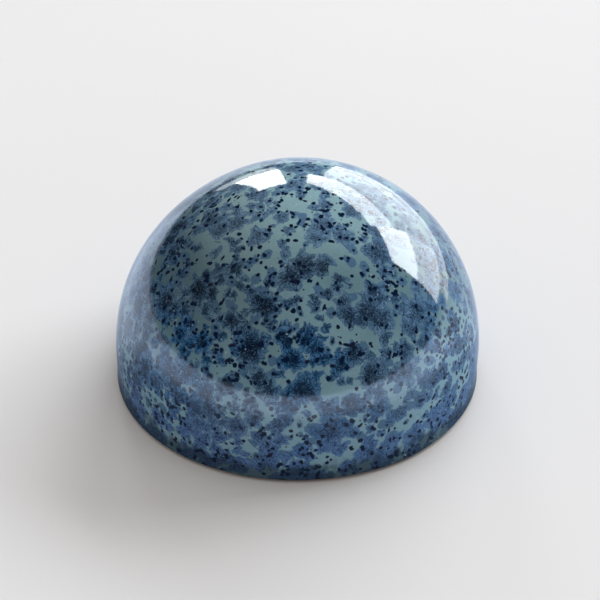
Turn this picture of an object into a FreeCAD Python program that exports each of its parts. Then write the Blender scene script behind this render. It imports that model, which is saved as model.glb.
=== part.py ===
"""A footless, round-bottomed stoneware bowl that lies upside down on its rim.

Frame: millimetres, +Z up, origin at the centre of the rim plane. The mouth faces down onto z = 0, and the
round bottom of the bowl is the dome on top. The bowl is fired as one thing from three materials, and each
is a solid of its own: the clay shell, the glaze on its outside and the liner glaze on its inside. They
meet face to face.
"""

import FreeCAD, Part
import math
import os

# Driving dimensions
OUTER_RADIUS = 60.0        # outside of the glazed wall and of the dome
WALL_HEIGHT = 11.4         # upright wall, from the rim plane to where the dome begins
OUTER_COAT = 0.6           # thickness of the glaze outside
CLAY_WALL = 3.9            # thickness of the clay shell
LINER_COAT = 0.5           # thickness of the glaze inside
LIP_ROUND = 1.0            # radius of the lip's two rounded edges
BARE_OUTSIDE = 1.0         # height at which the outer coat ends, so that the lip stays bare
BARE_INSIDE = 2.0          # height at which the liner ends

# Worked out from them
CLAY_OUTSIDE = OUTER_RADIUS - OUTER_COAT
CLAY_INSIDE = CLAY_OUTSIDE - CLAY_WALL
LINER_INSIDE = CLAY_INSIDE - LINER_COAT
UP = FreeCAD.Vector(0, 0, 1)
ORIGIN = FreeCAD.Vector(0, 0, 0)


def point(radius, height):
    """A point of a profile, in the XZ plane."""
    return FreeCAD.Vector(radius, 0, height)


def line(start, end):
    return Part.LineSegment(start, end).toShape()


def arc(centre, radius, start_deg, end_deg):
    """An arc of a profile. Angles run from outward (0 degrees) to up (90 degrees)."""
    angles = [math.radians(a) for a in (start_deg, (start_deg + end_deg) / 2, end_deg)]
    places = [centre + point(radius * math.cos(a), radius * math.sin(a)) for a in angles]
    return Part.Arc(*places).toShape()


def revolved(edges):
    """The solid that a closed profile sweeps in one full turn about the Z axis."""
    face = Part.Face(Part.Wire(edges))
    solid = face.revolve(ORIGIN, UP, 360)
    if solid.Volume < 0:
        solid.reverse()
    return solid


def dome(radius, upwards):
    """A quarter circle between the wall and the axis, climbing from the wall or coming down to it."""
    centre = point(0, WALL_HEIGHT)
    return arc(centre, radius, 0, 90) if upwards else arc(centre, radius, 90, 0)


def pole(radius):
    """The point where a dome of this radius meets the axis."""
    return point(0, WALL_HEIGHT + radius)


def clay_body():
    """The thrown shell: an even wall with a flat lip between two rounded edges."""
    outer_round = point(CLAY_OUTSIDE - LIP_ROUND, LIP_ROUND)
    inner_round = point(CLAY_INSIDE + LIP_ROUND, LIP_ROUND)
    return revolved([
        line(point(inner_round.x, 0), point(outer_round.x, 0)),
        arc(outer_round, LIP_ROUND, -90, 0),
        line(point(CLAY_OUTSIDE, LIP_ROUND), point(CLAY_OUTSIDE, WALL_HEIGHT)),
        dome(CLAY_OUTSIDE, True),
        line(pole(CLAY_OUTSIDE), pole(CLAY_INSIDE)),
        dome(CLAY_INSIDE, False),
        line(point(CLAY_INSIDE, WALL_HEIGHT), point(CLAY_INSIDE, LIP_ROUND)),
        arc(inner_round, LIP_ROUND, 180, 270),
    ])


def outer_glaze():
    """The coat over wall and dome. Surface tension rounds its lower edge down to the clay."""
    rolled = point(CLAY_OUTSIDE, BARE_OUTSIDE + OUTER_COAT)
    return revolved([
        arc(rolled, OUTER_COAT, -90, 0),
        line(point(OUTER_RADIUS, rolled.z), point(OUTER_RADIUS, WALL_HEIGHT)),
        dome(OUTER_RADIUS, True),
        line(pole(OUTER_RADIUS), pole(CLAY_OUTSIDE)),
        dome(CLAY_OUTSIDE, False),
        line(point(CLAY_OUTSIDE, WALL_HEIGHT), point(CLAY_OUTSIDE, BARE_OUTSIDE)),
    ])


def inner_glaze():
    """The liner, with the same rolled edge on the inside of the lip."""
    rolled = point(CLAY_INSIDE, BARE_INSIDE + LINER_COAT)
    return revolved([
        line(point(CLAY_INSIDE, BARE_INSIDE), point(CLAY_INSIDE, WALL_HEIGHT)),
        dome(CLAY_INSIDE, True),
        line(pole(CLAY_INSIDE), pole(LINER_INSIDE)),
        dome(LINER_INSIDE, False),
        line(point(LINER_INSIDE, WALL_HEIGHT), point(LINER_INSIDE, rolled.z)),
        arc(rolled, LINER_COAT, 180, 270),
    ])


def export(name, shape):
    """Writes one sub-part, after checking that it is one sound solid."""
    if not shape.isValid() or len(shape.Solids) != 1:
        raise ValueError(f"{name} is not one sound solid")
    shape.exportStep(f"parts/{name}.step")
    box = shape.optimalBoundingBox()
    size = f"{box.XLength:.1f} x {box.YLength:.1f} x {box.ZLength:.1f} mm"
    print(f"{name}: {shape.Volume / 1000:.1f} cm3, {size}")


os.makedirs("parts", exist_ok=True)
export("clay_body", clay_body())
export("outer_glaze", outer_glaze())
export("inner_glaze", inner_glaze())
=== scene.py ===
"""Looks of the upturned round-bottomed bowl: three thrown and glazed shells, a pale floor and window light.

Metres, +Z up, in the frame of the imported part: the origin is the centre of the rim plane and the rim rests on
z = 0. Azimuths are turned about +Z from -Y, where the camera is, with +X at 90 degrees. Patterns are laid out
in millimetres, and their heights are above the rim.
"""

import math

import bpy
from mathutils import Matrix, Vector, noise


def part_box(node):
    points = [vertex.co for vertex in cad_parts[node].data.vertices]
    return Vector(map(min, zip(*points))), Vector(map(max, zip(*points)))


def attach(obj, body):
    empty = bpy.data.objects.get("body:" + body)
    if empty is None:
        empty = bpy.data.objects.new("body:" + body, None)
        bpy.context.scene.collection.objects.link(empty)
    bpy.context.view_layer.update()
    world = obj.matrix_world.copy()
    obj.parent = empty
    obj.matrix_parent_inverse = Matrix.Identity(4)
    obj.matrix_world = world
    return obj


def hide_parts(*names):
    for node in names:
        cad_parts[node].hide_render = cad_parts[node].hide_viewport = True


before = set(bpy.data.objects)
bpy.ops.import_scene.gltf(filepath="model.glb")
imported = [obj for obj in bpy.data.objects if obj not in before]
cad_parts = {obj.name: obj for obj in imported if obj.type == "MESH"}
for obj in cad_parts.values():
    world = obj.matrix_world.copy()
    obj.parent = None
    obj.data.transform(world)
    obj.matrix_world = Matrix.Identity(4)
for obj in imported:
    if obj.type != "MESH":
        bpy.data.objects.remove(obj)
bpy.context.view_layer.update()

MM = 0.001

# ---- Sizes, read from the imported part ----
GLAZE_LOW, GLAZE_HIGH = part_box("outer_glaze")
CLAY_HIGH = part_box("clay_body")[1]
LINER_LOW, LINER_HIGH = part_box("inner_glaze")
GLAZE_RADIUS = GLAZE_HIGH.x
CLAY_RADIUS = CLAY_HIGH.x
CAVITY_RADIUS = LINER_HIGH.x                 # inside of the clay, which the liner covers
DOME_CENTRE = GLAZE_HIGH.z - GLAZE_RADIUS    # height at which the upright wall turns into the dome
COAT = GLAZE_RADIUS - CLAY_RADIUS
GLAZE_EDGE, LINER_EDGE = GLAZE_LOW.z, LINER_LOW.z
LINER_COAT = 0.5 * MM
LINER_RADIUS = CAVITY_RADIUS - LINER_COAT
LIP_ROUND = 1.0 * MM

# ---- How far a hand-thrown pot strays from the round, as distances along its surface normal ----
LEAN = 0.6 * MM              # the dome's shoulder bulges this much towards +X, and as much less opposite
THROWN_WOBBLE = 0.25 * MM    # slow unevenness of the whole wall
SHY = 0.26 * MM              # the wall stands this far inside the true round, so that no bulge leaves its box
GLAZE_WAVES = 0.02 * MM      # ripple of the glassy surface
POOLED_GLAZE = 0.25 * MM     # extra glaze that ran down to the rim
EDGE_WANDER = 0.3 * MM       # up and down of the glaze's lower edge
EDGE_REACH = 3 * MM          # how far above its lower edge the glaze pools and wanders

SEGMENTS = 320               # around the bowl
GLAZE_IOR = 1.52


def placed(name, data):
    """A new object in the scene."""
    thing = bpy.data.objects.new(name, data)
    bpy.context.scene.collection.objects.link(thing)
    return thing


def turn_to_face(thing, direction):
    """Turns a lamp or a camera so that it looks in this direction."""
    thing.rotation_mode = "QUATERNION"
    thing.rotation_quaternion = direction.to_track_quat("-Z", "Y")


# ---------------------------------------------------------------------------------------------- meshes
def arc_points(centre, radius, start_deg, end_deg, steps):
    """Profile points (distance from the axis, height) along an arc. 0 degrees is outward and 90 is up."""
    points = []
    for i in range(steps + 1):
        a = math.radians(start_deg + (end_deg - start_deg) * i / steps)
        points.append((centre[0] + radius * math.cos(a), centre[1] + radius * math.sin(a)))
    return points


def straight_points(start, end, steps):
    """Profile points strictly between two points of a straight stretch."""
    shares = [i / steps for i in range(1, steps)]
    return [tuple(a + (b - a) * t for a, b in zip(start, end)) for t in shares]


def surface_place(radius, height, turn):
    """At a profile point turned about the axis: the outward normal, a unit-sized place for noise, and how far
    the normal is lifted above level.
    """
    above = height - DOME_CENTRE
    lift = math.atan2(above, radius) if above > 0 else 0.0
    normal = Vector((math.cos(lift) * math.cos(turn), math.cos(lift) * math.sin(turn), math.sin(lift)))
    place = normal + Vector((0, 0, min(above, 0.0) / GLAZE_RADIUS))
    return normal, place, lift


def thrown(radius, height, turn):
    """The move of the pot's wall off the true round here. All three shells follow it."""
    normal, place, lift = surface_place(radius, height, turn)
    slow = noise.noise(place * 1.7 + Vector((3.1, 7.7, 1.3)))
    return normal * (LEAN * math.sin(2 * lift) * math.cos(turn) + THROWN_WOBBLE * slow - SHY)


def lathe(name, profile, offset):
    """A closed shell swept from a profile that starts and ends on the axis.

    offset gives the move of the point at a radius, height and turn.
    """
    rings = profile[1:-1]
    points = []
    for radius, height in rings:
        for k in range(SEGMENTS):
            turn = 2 * math.pi * k / SEGMENTS
            place = Vector((radius * math.cos(turn), radius * math.sin(turn), height))
            points.append(place + offset(radius, height, turn))
    faces = []
    for i in range(len(rings) - 1):
        for k in range(SEGMENTS):
            a, b = i * SEGMENTS + k, i * SEGMENTS + (k + 1) % SEGMENTS
            faces.append((a, a + SEGMENTS, b + SEGMENTS, b))
    last_ring = (len(rings) - 1) * SEGMENTS
    for (_, height), first, turned in ((profile[0], 0, False), (profile[-1], last_ring, True)):
        points.append(Vector((0, 0, height)) + offset(0.0, height, 0.0))
        for k in range(SEGMENTS):
            a, b = first + k, first + (k + 1) % SEGMENTS
            faces.append((len(points) - 1, b, a) if turned else (len(points) - 1, a, b))
    mesh = bpy.data.meshes.new(name)
    mesh.from_pydata(points, [], faces)
    mesh.validate()
    mesh.shade_smooth()
    return placed(name, mesh)


def dome_points(radius, steps, upwards=False):
    """From the pole down to where the wall begins, or back up."""
    points = arc_points((0.0, DOME_CENTRE), radius, 90, 0, steps)
    return points[::-1] if upwards else points


def edge_nearness(height, edge):
    """1 at the height of a glaze's lower edge, fading to 0 above it."""
    return math.exp(-(((height - edge) / EDGE_REACH) ** 2))


def glaze_shell():
    """The outer coat: outside face, rolled lower edge, and the hidden face that lies on the clay."""
    roll = arc_points((CLAY_RADIUS, GLAZE_EDGE + COAT), COAT, 0, -90, 8)
    wall = straight_points((GLAZE_RADIUS, DOME_CENTRE), roll[0], 14)
    hidden = [(CLAY_RADIUS, GLAZE_EDGE + 0.3 * COAT), (CLAY_RADIUS, DOME_CENTRE / 2)]
    profile = dome_points(GLAZE_RADIUS, 110) + wall + roll + hidden + dome_points(CLAY_RADIUS, 24, True)

    def offset(radius, height, turn):
        normal, place, _ = surface_place(radius, height, turn)
        moved = thrown(radius, height, turn)
        nearness = edge_nearness(height, GLAZE_EDGE)
        moved.z += EDGE_WANDER * nearness * noise.noise(place * 2.3 + Vector((9.0, 2.0, 5.0)))
        off_the_clay = math.hypot(radius, max(height - DOME_CENTRE, 0.0)) - CLAY_RADIUS
        if off_the_clay > 0.2 * COAT:
            waves = noise.fractal(place * 7.0, 1.0, 2.0, 2)
            moved += normal * (GLAZE_WAVES * waves + POOLED_GLAZE * nearness)
        return moved

    return lathe("glaze_coat", profile, offset)


def clay_shell():
    """The stoneware: only its bare lip shows, between the two coats."""
    outer_round = (CLAY_RADIUS - LIP_ROUND, LIP_ROUND)
    inner_round = (CAVITY_RADIUS + LIP_ROUND, LIP_ROUND)
    lip = arc_points(outer_round, LIP_ROUND, 0, -90, 8) + arc_points(inner_round, LIP_ROUND, 270, 180, 8)
    wall = straight_points((CLAY_RADIUS, DOME_CENTRE), lip[0], 6)
    inner_wall = straight_points(lip[-1], (CAVITY_RADIUS, DOME_CENTRE), 6)
    profile = dome_points(CLAY_RADIUS, 40) + wall + lip + inner_wall + dome_points(CAVITY_RADIUS, 40, True)
    return lathe("clay_shell", profile, thrown)


def liner_shell():
    """The coat inside the bowl, with its own rolled edge above the lip."""
    roll = arc_points((CAVITY_RADIUS, LINER_EDGE + LINER_COAT), LINER_COAT, 270, 180, 6)
    hidden_wall = straight_points((CAVITY_RADIUS, DOME_CENTRE), roll[0], 3)
    wall = straight_points(roll[-1], (LINER_RADIUS, DOME_CENTRE), 10)
    profile = dome_points(CAVITY_RADIUS, 24) + hidden_wall + roll + wall + dome_points(LINER_RADIUS, 80, True)

    def offset(radius, height, turn):
        place = surface_place(radius, height, turn)[1]
        moved = thrown(radius, height, turn)
        wander = noise.noise(place * 2.1 + Vector((1.0, 6.0, 2.0)))
        moved.z += EDGE_WANDER * edge_nearness(height, LINER_EDGE) * wander
        return moved

    return lathe("liner_coat", profile, offset)


# ------------------------------------------------------------------------------------------- node helper
class Graph:
    """Adds nodes to a material or the world. Most methods take sockets or plain values, and return one."""

    def __init__(self, owner):
        owner.use_nodes = True
        self.tree = owner.node_tree
        self.tree.nodes.clear()

    def add(self, kind, **settings):
        node = self.tree.nodes.new(kind)
        for key, value in settings.items():
            setattr(node, key, value)
        return node

    def feed(self, socket, value):
        """Links a socket, or sets its plain value. None leaves it as it is."""
        if isinstance(value, bpy.types.NodeSocket):
            self.tree.links.new(value, socket)
        elif value is not None:
            socket.default_value = value

    def math(self, operation, a, b=None, c=None):
        node = self.add("ShaderNodeMath", operation=operation)
        for socket, value in zip(node.inputs, (a, b, c)):
            self.feed(socket, value)
        return node.outputs[0]

    def vector(self, operation, a, b=None, scale=None):
        node = self.add("ShaderNodeVectorMath", operation=operation)
        self.feed(node.inputs[0], a)
        self.feed(node.inputs[1], b)
        if scale is not None:    # the socket is there for SCALE only
            self.feed(node.inputs["Scale"], scale)
        return node.outputs["Value"] if operation in ("LENGTH", "DOT_PRODUCT") else node.outputs[0]

    def step(self, value, low, high, start=0.0, end=1.0):
        """Smoothly from start, where value is low, to end, where it is high. low may be above high."""
        node = self.add("ShaderNodeMapRange", interpolation_type="SMOOTHSTEP")
        for socket, given in zip(node.inputs, (value, low, high, start, end)):
            self.feed(socket, given)
        return node.outputs[0]

    def mix(self, share, a, b, blend="MIX"):
        """From colour a, where share is 0, to colour b, or to a times b, where it is 1."""
        node = self.add("ShaderNodeMix", data_type="RGBA", blend_type=blend)
        self.feed(node.inputs[0], share)
        self.feed(node.inputs[6], a)
        self.feed(node.inputs[7], b)
        return node.outputs[2]

    def split(self, vector):
        """The three parts of a vector."""
        node = self.add("ShaderNodeSeparateXYZ")
        self.feed(node.inputs[0], vector)
        return node.outputs

    def join(self, x, y, z):
        node = self.add("ShaderNodeCombineXYZ")
        for socket, value in zip(node.inputs, (x, y, z)):
            self.feed(socket, value)
        return node.outputs[0]

    def ramp(self, value, stops):
        """A colour picked from (position, colour) stops, with even fades between them."""
        node = self.add("ShaderNodeValToRGB")
        self.feed(node.inputs[0], value)
        elements = node.color_ramp.elements
        while len(elements) < len(stops):
            elements.new(0.5)
        for element, (position, shade) in zip(elements, stops):
            element.position = position
            element.color = shade
        return node.outputs[0]

    def noise(self, place, size, detail=2.0, roughness=0.5):
        """Noise whose blobs are about size across, in the units of place."""
        node = self.add("ShaderNodeTexNoise")
        for name, value in (
            ("Vector", place),
            ("Scale", 1.0 / size),
            ("Detail", detail),
            ("Roughness", roughness),
        ):
            self.feed(node.inputs[name], value)
        return node.outputs["Fac"]

    def warp(self, place, size, reach):
        """A place pushed about by up to about half of reach, in swirls of this size."""
        node = self.add("ShaderNodeTexNoise")
        self.feed(node.inputs["Vector"], place)
        self.feed(node.inputs["Scale"], 1.0 / size)
        self.feed(node.inputs["Detail"], 0.0)
        push = self.vector("SUBTRACT", node.outputs["Color"], (0.5, 0.5, 0.5))
        return self.vector("ADD", place, self.vector("SCALE", push, scale=reach))

    def voronoi(self, place, size):
        """The nearest scattered point: its place and three random numbers that belong to it."""
        node = self.add("ShaderNodeTexVoronoi", feature="F1")
        self.feed(node.inputs["Vector"], place)
        self.feed(node.inputs["Scale"], 1.0 / size)
        split = self.add("ShaderNodeSeparateColor")
        self.feed(split.inputs[0], node.outputs["Color"])
        return node.outputs["Position"], split.outputs

    def bump(self, height, strength, distance):
        """A normal that follows this height. distance is in metres."""
        node = self.add("ShaderNodeBump")
        node.inputs["Strength"].default_value = strength
        node.inputs["Distance"].default_value = distance
        self.feed(node.inputs["Height"], height)
        return node.outputs[0]

    def finish(self, base, roughness, normal=None, **plain):
        """The material's shader. plain holds values that are the same all over, by socket name."""
        shader = self.add("ShaderNodeBsdfPrincipled")
        self.feed(shader.inputs["Base Color"], base)
        self.feed(shader.inputs["Roughness"], roughness)
        self.feed(shader.inputs["Normal"], normal)
        for name, value in plain.items():
            shader.inputs[name.replace("_", " ")].default_value = value
        out = self.add("ShaderNodeOutputMaterial")
        self.tree.links.new(shader.outputs[0], out.inputs["Surface"])
        return shader


def millimetres(graph):
    """Where a point lies on the object, in millimetres."""
    place = graph.add("ShaderNodeTexCoord").outputs["Object"]
    return graph.vector("SCALE", place, scale=1.0 / MM)


def colour(red, green, blue):
    """A display colour, 0 to 255 a channel, as linear light."""
    linear = [c / 255 / 12.92 if c <= 10 else ((c / 255 + 0.055) / 1.055) ** 2.4 for c in (red, green, blue)]
    return (*linear, 1.0)


# ------------------------------------------------------------------------------------- the crystal glaze
# Lengths are in mm. cell is the spacing of the points that a pattern is strewn on, and shift sets one pattern
# apart from the next. share sets how many of the points bear something, and rarity how few.
FACE_REACH = 0.36               # of a cell: points farther than this from the glazed face bear nothing
INK = colour(6, 24, 52)

OVALS = (
    # cell, radius, shift, share
    (4.4, 1.5, 133.0, 0.5),
    (3.3, 0.9, 143.0, 0.42),
)
ROSETTES = (
    # cell, radius, shift, rarity, how much darker the heart is than the edge
    (4.4, 1.8, 91.0, 0.55, 0.3),
    (6.0, 2.6, 57.0, 0.53, 0.45),
    (8.5, 3.7, 33.0, 0.53, 0.6),
    (12.0, 4.8, 10.0, 0.53, 0.66),
)
DARK_SPOTS = (
    # cell, radius, stretch, shift, share
    (2.8, 0.60, 1.3, 23.0, 0.40),
    (3.7, 0.50, 2.6, 71.0, 0.46),
    (3.2, 0.52, 1.2, 213.0, 0.32),
    (1.7, 0.25, 1.0, 171.0, 0.16),
)

# the crystals' colours, from the darkest to the lightest
SLATE = (
    (0.0, colour(8, 26, 40)),
    (0.3, colour(42, 66, 88)),
    (0.65, colour(72, 104, 132)),
    (1.0, colour(108, 142, 166)),
)
COBALT = (
    (0.0, colour(4, 26, 50)),
    (0.3, colour(18, 62, 98)),
    (0.65, colour(42, 94, 138)),
    (1.0, colour(84, 130, 172)),
)


def scatter(graph, place, cell, shift, face_radius):
    """The nearest of many points strewn through space.

    Returns the step from it to here along the face, the point, its random numbers, and whether it lies
    close to the glazed face.
    """
    moved = Vector((1.0, 0.7, -1.3)) * shift
    centre, chance = graph.voronoi(graph.vector("ADD", place, moved), cell)
    centre = graph.vector("SUBTRACT", centre, moved)
    across = graph.vector("SUBTRACT", place, centre)
    normal = graph.add("ShaderNodeNewGeometry").outputs["Normal"]
    sunk = graph.vector("DOT_PRODUCT", across, normal)
    flat = graph.vector("SUBTRACT", across, graph.vector("SCALE", normal, scale=sunk))
    x, y, z = graph.split(centre)
    rise = graph.math("MAXIMUM", graph.math("SUBTRACT", z, DOME_CENTRE / MM), 0.0)
    off = graph.math("SUBTRACT", graph.vector("LENGTH", graph.join(x, y, rise)), face_radius)
    close = graph.math("LESS_THAN", graph.math("ABSOLUTE", off), FACE_REACH * cell)
    return flat, centre, chance, close


def near_rim(graph, centre):
    """1 at the rim, fading to 0 some 30 mm above it: the glaze ran down and grew more crystals there. It also
    pales the crystals low down, partly as a painted reflection of the floor.
    """
    return graph.step(graph.split(centre)[2], 30.0, 6.0)


def both_sides(graph, centre):
    """1 far out towards +X and -X, where the crystals also stand closer, fading to 0 near the middle."""
    return graph.step(graph.math("ABSOLUTE", graph.split(centre)[0]), 8.0, 42.0)


def rosettes(graph, place, cell, radius, shift, rarity):
    """Lobed discs of radiating crystals.

    Returns whether a point lies in one, how far out of its disc it lies (0 centre, 1 edge), the crystals'
    streaks, and the disc's random numbers.
    """
    flat, centre, chance, close = scatter(graph, place, cell, shift, GLAZE_RADIUS / MM)
    direction = graph.vector("NORMALIZE", flat)
    own = graph.vector("SCALE", centre, scale=7.3)
    lobes = graph.noise(graph.vector("ADD", direction, own), 0.6, detail=0.6)
    size = graph.math("MULTIPLY_ADD", chance[0], 0.5 * radius, 0.6 * radius)
    size = graph.math("MULTIPLY", size, graph.math("MULTIPLY_ADD", lobes, 1.3, 0.35))
    out = graph.math("DIVIDE", graph.vector("LENGTH", flat), size)
    crowd = graph.noise(graph.vector("ADD", centre, (shift, 0.0, 0.0)), 11.0, detail=1.0)
    crowd = graph.math("MULTIPLY_ADD", near_rim(graph, centre), 0.13, crowd)
    crowd = graph.math("MULTIPLY_ADD", both_sides(graph, centre), 0.07, crowd)
    more_left = graph.step(graph.split(centre)[0], -6.0, -34.0, 0.0, 0.06)
    crowd = graph.math("ADD", crowd, more_left)
    crowd = graph.math("MULTIPLY_ADD", chance[1], 0.14, crowd)
    grown = graph.math("MULTIPLY", graph.math("GREATER_THAN", crowd, rarity), close)
    soft = 0.16 / radius
    inside = graph.math("MULTIPLY", graph.step(out, 1.0 + soft, 1.0 - soft), grown)
    fan = graph.vector("SCALE", direction, scale=7.0)
    along = graph.vector("ADD", fan, graph.vector("SCALE", flat, scale=0.45))
    needles = graph.noise(graph.vector("ADD", along, own), 1.0, roughness=0.65)
    return inside, out, needles, chance


def squashed_length(graph, step, direction, stretch):
    """The length of a step, counted stretch times shorter along a direction: equal lengths make ovals."""
    along = graph.vector("DOT_PRODUCT", step, direction)
    spared = graph.math("MULTIPLY", graph.math("MULTIPLY", along, along), 1.0 - 1.0 / stretch ** 2)
    squared = graph.math("SUBTRACT", graph.vector("DOT_PRODUCT", step, step), spared)
    return graph.math("SQRT", graph.math("MAXIMUM", squared, 0.0))


def spots(graph, place, cell, radius, stretch, shift, share, halo=0.0, face_radius=GLAZE_RADIUS / MM):
    """Dark spots, and the ovals of radius halo that they lie in if halo is given.

    radius is the spot's narrow way, and stretch is how many times longer it is the other way. Returns
    whether a point lies in a spot and in an oval, and the spot's random numbers.
    """
    flat, centre, chance, close = scatter(graph, place, cell, shift, face_radius)
    tilt = graph.join(*(graph.math("SUBTRACT", c, 0.5) for c in chance))
    direction = graph.vector("NORMALIZE", tilt)
    wobble = graph.noise(place, 0.9, detail=1.0)
    crowd = graph.noise(centre, 13.0, detail=1.0)
    wanted = graph.math("MULTIPLY_ADD", crowd, 1.6, share - 0.8)
    there = graph.math("MULTIPLY", graph.math("LESS_THAN", chance[1], wanted), close)

    aside = graph.vector("SUBTRACT", flat, graph.vector("SCALE", tilt, scale=1.3 * halo))
    length = squashed_length(graph, aside, direction, stretch)
    size = graph.math("MULTIPLY_ADD", chance[2], 0.5 * radius, 0.75 * radius)
    size = graph.math("MULTIPLY", size, graph.math("MULTIPLY_ADD", wobble, 1.0, 0.5))
    low, high = (graph.math("ADD", size, part) for part in (0.14, -0.14))
    core = graph.math("MULTIPLY", graph.step(length, low, high), there)
    if not halo:
        return core, None, chance
    reach = graph.math("MULTIPLY", graph.math("MULTIPLY_ADD", wobble, 0.9, 0.55), halo)
    out = graph.math("DIVIDE", squashed_length(graph, flat, direction, 1.7), reach)
    oval = graph.math("MULTIPLY", graph.step(out, 1.1, 0.9), there)
    return core, oval, chance


def crystal_colour(graph, place, tone, low, level):
    """The colour of a rosette's crystals: slate where tone is 0 and cobalt where it is 1. Paler low down,
    partly the glaze's own tone and partly a painted reflection of the floor; paler towards +X and at the crown
    as painted light.
    """
    x, _, height = graph.split(place)
    body = graph.mix(tone, graph.ramp(level, SLATE), graph.ramp(level, COBALT))
    # paler low down: partly the glaze's own tone, partly a painted reflection of the pale floor
    body = graph.mix(graph.math("MULTIPLY", low, 0.64), body, colour(97, 134, 194))
    # painted light: paler towards +X, the side the windows light
    body = graph.mix(graph.step(x, 5.0, 42.0, 0.0, 0.32), body, colour(100, 142, 182))
    # painted light: paler at the crown, where light falls from above
    body = graph.mix(graph.step(height, 56.0, 69.0, 0.0, 0.4), body, colour(116, 150, 180))
    return body


def crystal_glaze():
    """The outside's glaze: crystals and dark spots in a glassy sage-green ground."""
    material = bpy.data.materials.new("crystal_glaze")
    graph = Graph(material)
    place = millimetres(graph)
    x, _, height = graph.split(place)
    low = near_rim(graph, place)

    # the glassy ground: sage green with slow drifts; darker towards -X as painted shade, paler at the crown as
    # painted light from above, and paler low down partly as a painted reflection of the floor
    drift = graph.noise(place, 34.0)
    base = graph.mix(graph.step(drift, 0.35, 0.65), colour(103, 134, 142), colour(128, 162, 173))
    # painted shade: darker towards -X, where less light falls
    base = graph.mix(graph.step(x, -8.0, -38.0, 0.0, 0.8), base, colour(80, 108, 118))
    # painted light: paler at the crown, where light falls from above, along with the thinner glaze there
    base = graph.mix(graph.step(height, 56.0, 69.0), base, colour(136, 168, 174))
    # paler and bluer low down: partly the glaze's own tone near the rim, partly a painted reflection of the
    # pale floor
    base = graph.mix(graph.step(height, 46.0, 16.0, 0.0, 0.85), base, colour(136, 174, 192))
    grain = graph.step(graph.noise(place, 0.8, detail=3.0, roughness=0.7), 0.35, 0.65, 0.0, 0.16)
    base = graph.mix(grain, base, colour(70, 100, 108))

    # single small crystals, each a translucent oval with a dark seed to one side
    warped = graph.warp(graph.warp(place, 2.6, 2.4), 0.9, 0.7)
    for cell, radius, shift, share in OVALS:
        seed, oval = spots(graph, place, cell, 0.55, 1.3, shift, share, halo=radius)[:2]
        base = graph.mix(graph.math("MULTIPLY", oval, 0.8), base, colour(64, 98, 132))
        base = graph.mix(graph.math("MULTIPLY", seed, 0.95), base, INK)

    # lobed rosettes of crystals, the large ones on top
    tone = graph.step(graph.noise(place, 26.0), 0.42, 0.62)
    tone = graph.math("MULTIPLY", tone, graph.step(height, 60.0, 46.0))
    fleck = graph.step(graph.noise(warped, 0.5, detail=1.5, roughness=0.6), 0.5, 0.58)
    glint = graph.step(graph.noise(warped, 0.5, detail=1.0), 0.4, 0.33)
    for cell, radius, shift, rarity, heart in ROSETTES:
        inside, out, needles, chance = rosettes(graph, warped, cell, radius, shift, rarity)
        # level is how light the crystals are: dark in the heart, striped along the needles, and its own
        # in each rosette
        level = graph.math("MULTIPLY_ADD", graph.step(out, 0.2, 0.95), heart, 0.72 - heart)
        stripes = graph.step(needles, 0.38, 0.62)
        level = graph.math("MULTIPLY_ADD", stripes, 0.5, graph.math("ADD", level, -0.25))
        level = graph.math("MULTIPLY_ADD", chance[2], 0.3, graph.math("ADD", level, -0.15))
        body = crystal_colour(graph, place, tone, low, level)
        dense = graph.math("MULTIPLY", fleck, graph.step(out, 1.0, 0.3, 0.4, 0.75))
        body = graph.mix(dense, body, colour(6, 22, 46))
        body = graph.mix(graph.math("MULTIPLY", glint, 0.3), body, colour(128, 154, 178))
        outline = graph.math("MULTIPLY", graph.step(out, 0.82, 0.98), 0.2)
        body = graph.mix(outline, body, colour(40, 70, 122))
        cover = graph.math("MULTIPLY", inside, graph.step(out, 1.0, 0.6, 0.82, 0.98))
        base = graph.mix(cover, base, body)

    # painted shade: darker and greyer high up towards -X, where less light falls
    painted_shade_high_left = graph.math("MULTIPLY", graph.step(x, 2.0, -24.0), graph.step(height, 38.0, 50.0))
    base = graph.mix(painted_shade_high_left, base, (0.9, 0.85, 0.82, 1.0), "MULTIPLY")

    # darker near the edge: partly the thick glaze that ran down there, partly painted shade for the floor that
    # the rim mirrors, where the bowl shades it
    edge = graph.math("MULTIPLY_ADD", graph.noise(place, 6.0), 15.0, height)
    pooled_glaze_and_painted_shade = graph.math("MULTIPLY", graph.step(edge, 16.5, 11.5), 0.72)
    base = graph.mix(pooled_glaze_and_painted_shade, base, colour(14, 32, 42))

    # dark spots and rods, a few of them greyer
    for cell, radius, stretch, shift, share in DARK_SPOTS:
        core, _, chance = spots(graph, place, cell, radius, stretch, shift, share)
        ink = graph.mix(graph.math("GREATER_THAN", chance[0], 0.96), INK, colour(28, 28, 50))
        base = graph.mix(core, base, ink)

    # a few pale pinholes
    pinhole = spots(graph, place, 3.4, 0.2, 1.2, 251.0, 0.1)[0]
    base = graph.mix(graph.math("MULTIPLY", pinhole, 0.7), base, colour(176, 192, 194))

    roughness = graph.math("MULTIPLY_ADD", graph.noise(place, 4.0), 0.04, 0.04)
    normal = graph.bump(graph.noise(place, 3.0, detail=3.0, roughness=0.6), 0.3, 0.05 * MM)
    graph.finish(base, roughness, normal, IOR=GLAZE_IOR)
    return material


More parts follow.
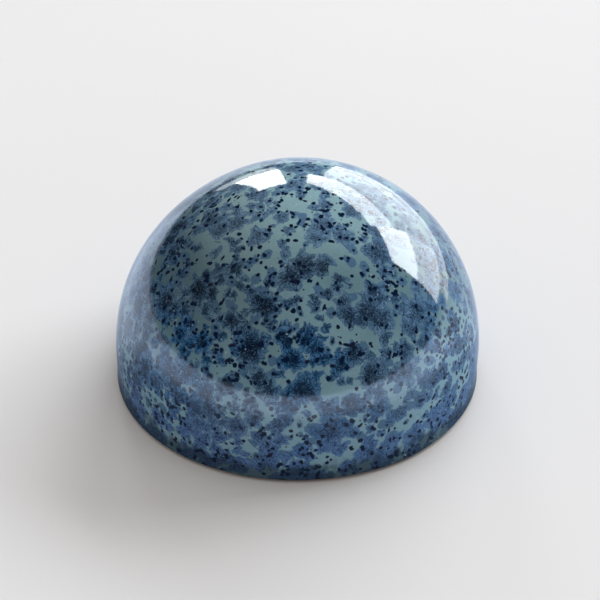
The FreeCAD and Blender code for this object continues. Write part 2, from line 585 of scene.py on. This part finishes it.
def liner_glaze():
    """The inside's glaze: a plainer sage-green ground with a few ovals."""
    material = bpy.data.materials.new("liner_glaze")
    graph = Graph(material)
    place = millimetres(graph)
    drift = graph.noise(place, 24.0, detail=3.0)
    base = graph.mix(graph.step(drift, 0.35, 0.65), colour(116, 144, 140), colour(142, 166, 156))
    seed, oval = spots(graph, place, 4.6, 0.6, 1.3, 11.0, 0.4, halo=1.4, face_radius=LINER_RADIUS / MM)[:2]
    base = graph.mix(graph.math("MULTIPLY", oval, 0.6), base, colour(60, 92, 138))
    base = graph.mix(graph.math("MULTIPLY", seed, 0.9), base, colour(6, 22, 66))
    roughness = graph.math("MULTIPLY_ADD", graph.noise(place, 4.0), 0.05, 0.06)
    graph.finish(base, roughness, IOR=GLAZE_IOR)
    return material


def bare_clay():
    """Fired stoneware: a warm buff with iron specks and a fine sandy tooth."""
    material = bpy.data.materials.new("bare_clay")
    graph = Graph(material)
    place = millimetres(graph)
    patchy = graph.noise(place, 5.0, detail=4.0)
    base = graph.mix(graph.step(patchy, 0.35, 0.65), colour(128, 98, 78), colour(166, 130, 102))
    speck = graph.step(graph.noise(place, 0.35), 0.62, 0.7)
    base = graph.mix(graph.math("MULTIPLY", speck, 0.7), base, colour(70, 50, 38))
    roughness = graph.math("MULTIPLY_ADD", patchy, 0.2, 0.65)
    graph.finish(base, roughness, graph.bump(graph.noise(place, 0.3, detail=3.0), 0.5, 0.06 * MM))
    return material


# ------------------------------------------------------------------------------------------- the studio
DAYLIGHT = (0.93, 0.985, 1.06)                # what the windows shed on matt surfaces
MIRRORED_WHITE = (0.93, 0.97, 0.99)           # what gloss mirrors of them
WALL_DISTANCE = 3.2                           # of the windows from the bowl
LAMP_GAP = 0.01                               # the lamp that gloss mirrors hangs this far before the other

WINDOWS = (
    # name, facing, left, right, low, high, light, shine
    ("sky_right_near", 128, 103, 131, 24, 42.5, 8.2, 13.0),
    ("sky_right_far", 128, 131, 178, 32, 46.0, 9.4, 9.0),
    ("curtain_right_near", 128, 103, 131, 7, 24, 2.0, 6.2),
    ("curtain_right_far", 128, 131, 173, 7, 32, 2.0, 4.2),
    ("curtain_right_low", 128, 112, 173, 0, 7, 2.7, 3.2),
    ("sky_left", 190, 186, 197.5, 12, 33, 7.0, 12.0),
    ("curtain_left", 190, 186, 201, 6, 12, 2.4, 1.8),
)

WALL_LIGHT = (0.09, 0.085, 0.082, 1)          # what the room sheds on matt surfaces, level with them
CEILING_LIGHT = (0.85, 0.83, 0.82, 1)         # and from straight above
DIM_ROOM = (0.035, 0.05, 0.07, 1)             # what gloss mirrors of the room
MIRRORED_BACKDROP = (0.58, 0.66, 0.76, 1)     # and of what lies below its horizon
HORIZON = (-0.01, 0.035)                      # where one fades into the other, as the height of a direction
PALE_BACKDROP = (0.72, 0.7, 0.69, 1)          # what the camera sees

FLOOR_REACH = 3.1
FLOOR_SIDES = 96
FLOOR_TINTS = (0.7, 0.685, 0.67, 1), (0.74, 0.725, 0.71, 1)
FLOOR_FAR = (0.15, 0.148, 0.146, 1)           # far off towards the windows
MIRRORED_FLOOR = (0.58, 0.65, 0.76, 1)        # the rest is what gloss mirrors of the floor
MIRRORED_FRONT = (0.5, 0.64, 0.84, 1)
MIRRORED_NEAR_SHADE = (0.05, 0.06, 0.08, 1)         # painted shade: what gloss mirrors close by, where the bowl's shadow and folds of cloth darken the floor
MIRRORED_NEAR_SHARE = 0.75
GLOW = (0.79, 0.96, 1.3, 1)
FRONT_GLOW = 1.45                             # how much brighter it is in front than it is lit
LEFT_GLOW = 0.6                               # and at the left, towards -X

LENS = 88.75                                  # mm, on a sensor this wide
SENSOR_WIDTH = 36.0
CAMERA_ELEVATION = 33.2
CAMERA_DISTANCE = 8 * GLAZE_RADIUS
AIM = (0.0155, -0.0249, -0.0381)              # off the bowl's middle, in radii


def around(azimuth, elevation, distance):
    """A point seen from the bowl in this direction, in degrees."""
    a, e = math.radians(azimuth), math.radians(elevation)
    return Vector((math.sin(a) * math.cos(e), -math.cos(a) * math.cos(e), math.sin(e))) * distance


def window(name, facing, left, right, low, high, light, shine):
    """An upright pane of even light on a wall whose square direction is the azimuth facing.

    Its sides are at the azimuths left and right, and low and high are the elevations of its edges straight
    ahead. It is two lamps, one just before the other: light is the radiance that falls on matt surfaces, and
    shine is the one that gloss mirrors. A radiance of 1 is a white surface in the picture.
    """
    start, end = (WALL_DISTANCE * math.tan(math.radians(a - facing)) for a in (left, right))
    bottom, top = (WALL_DISTANCE * math.tan(math.radians(e)) for e in (low, high))
    ahead, sideways = around(facing, 0, 1.0), around(facing + 90, 0, 1.0)
    centre = ahead * WALL_DISTANCE + sideways * (start + end) / 2 + Vector((0, 0, (bottom + top) / 2))
    for part, radiance in (("light", light), ("shine", shine)):
        data = bpy.data.lights.new(f"{name}_{part}", "AREA")
        data.shape = "RECTANGLE"
        data.size, data.size_y = abs(end - start), top - bottom
        data.energy = radiance * data.size * data.size_y * math.pi
        data.color = DAYLIGHT if part == "light" else MIRRORED_WHITE
        lamp = placed(data.name, data)
        lamp.location = centre - ahead * (LAMP_GAP if part == "shine" else 0.0)
        turn_to_face(lamp, -ahead)
        lamp.visible_camera = False
        lamp.visible_diffuse = part == "light"
        lamp.visible_glossy = part == "shine"


def build_world():
    """A pale room that lights matt surfaces evenly, and that gloss mirrors as dim above its horizon."""
    world = bpy.data.worlds.new("room")
    bpy.context.scene.world = world
    graph = Graph(world)
    height = graph.split(graph.add("ShaderNodeTexCoord").outputs["Generated"])[2]
    above = graph.add("ShaderNodeMapRange")
    for name, value in zip(("Value", "From Min", "From Max"), (height, *HORIZON)):
        graph.feed(above.inputs[name], value)
    ray = graph.add("ShaderNodeLightPath").outputs
    mirrored = graph.mix(above.outputs[0], MIRRORED_BACKDROP, DIM_ROOM)
    shed = graph.mix(height, WALL_LIGHT, CEILING_LIGHT)
    light = graph.mix(ray["Is Glossy Ray"], shed, mirrored)
    background = graph.add("ShaderNodeBackground")
    graph.feed(background.inputs["Color"], graph.mix(ray["Is Camera Ray"], light, PALE_BACKDROP))
    out = graph.add("ShaderNodeOutputWorld")
    graph.feed(out.inputs["Surface"], background.outputs[0])


def floor_material():
    """Plain and pale. Only mirrored rays meet its second look: bluer tints, painted shade close by, which
    stands for the bowl's shadow and folds of cloth, and a painted glow in front and at the left.
    """
    material = bpy.data.materials.new("floor")
    graph = Graph(material)
    place = millimetres(graph)
    x, y, _ = graph.split(place)
    distance = graph.vector("LENGTH", place)
    tint = graph.mix(graph.noise(place, 400.0), *FLOOR_TINTS)
    tint = graph.mix(graph.step(y, 250.0, 2500.0, 0.0, 0.75), tint, FLOOR_FAR)

    gloss = graph.add("ShaderNodeLightPath").outputs["Is Glossy Ray"]
    front = graph.math("MULTIPLY", gloss, graph.step(y, 30.0, -20.0))
    tint = graph.mix(gloss, tint, MIRRORED_FLOOR)
    tint = graph.mix(front, tint, MIRRORED_FRONT)
    # painted shade close to the bowl, in what gloss mirrors
    near = graph.math("MULTIPLY", front, graph.step(distance, 150.0, 70.0, 0.0, MIRRORED_NEAR_SHARE))
    tint = graph.mix(near, tint, MIRRORED_NEAR_SHADE)

    front_glow = graph.math("MULTIPLY", front, graph.step(distance, 120.0, 200.0, 0.0, FRONT_GLOW))
    left_glow = graph.math("MULTIPLY", gloss, graph.step(x, -75.0, -120.0, 0.0, LEFT_GLOW))
    left_glow = graph.math("MULTIPLY", left_glow, graph.step(y, -15.0, 15.0))
    slanted = graph.math("MULTIPLY_ADD", y, 0.45, x)
    left_glow = graph.math("MULTIPLY", left_glow, graph.step(slanted, 0.0, -60.0))

    # with any gloss of its own it would glare towards the windows in low views
    shader = graph.finish(tint, 0.9, Emission_Color=GLOW, Specular_IOR_Level=0.0)
    graph.feed(shader.inputs["Emission Strength"], graph.math("MAXIMUM", front_glow, left_glow))
    return material


def build_floor():
    """A plain pale floor, round, that ends just short of the windows."""
    turns = [2 * math.pi * i / FLOOR_SIDES for i in range(FLOOR_SIDES)]
    rim = [(FLOOR_REACH * math.cos(t), FLOOR_REACH * math.sin(t), 0) for t in turns]
    mesh = bpy.data.meshes.new("floor")
    mesh.from_pydata(rim, [], [range(FLOOR_SIDES)])
    mesh.materials.append(floor_material())
    floor = placed("floor", mesh)


def build_camera():
    """Looks down at the bowl, so that it fills three fifths of the frame."""
    data = bpy.data.cameras.new("camera")
    data.sensor_width = SENSOR_WIDTH
    data.lens = LENS
    camera = placed("camera", data)
    middle = Vector((0, 0, GLAZE_RADIUS / 2))
    camera.location = middle + around(0, CAMERA_ELEVATION, CAMERA_DISTANCE)
    aim = middle + GLAZE_RADIUS * Vector(AIM)
    turn_to_face(camera, aim - camera.location)
    bpy.context.scene.camera = camera


# ------------------------------------------------------------------------------------------- assembly
for build, node, material_maker, slot in (
    (glaze_shell, "outer_glaze", crystal_glaze, "crystal_glaze"),
    (clay_shell, "clay_body", bare_clay, "clay"),
    (liner_shell, "inner_glaze", liner_glaze, "liner_glaze"),
):
    piece = build()
    piece.data.materials.append(material_maker())
    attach(piece, "root")
    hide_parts(node)

build_floor()
build_world()
for pane in WINDOWS:
    window(*pane)
build_camera()
bpy.context.scene.view_settings.view_transform = "Standard"
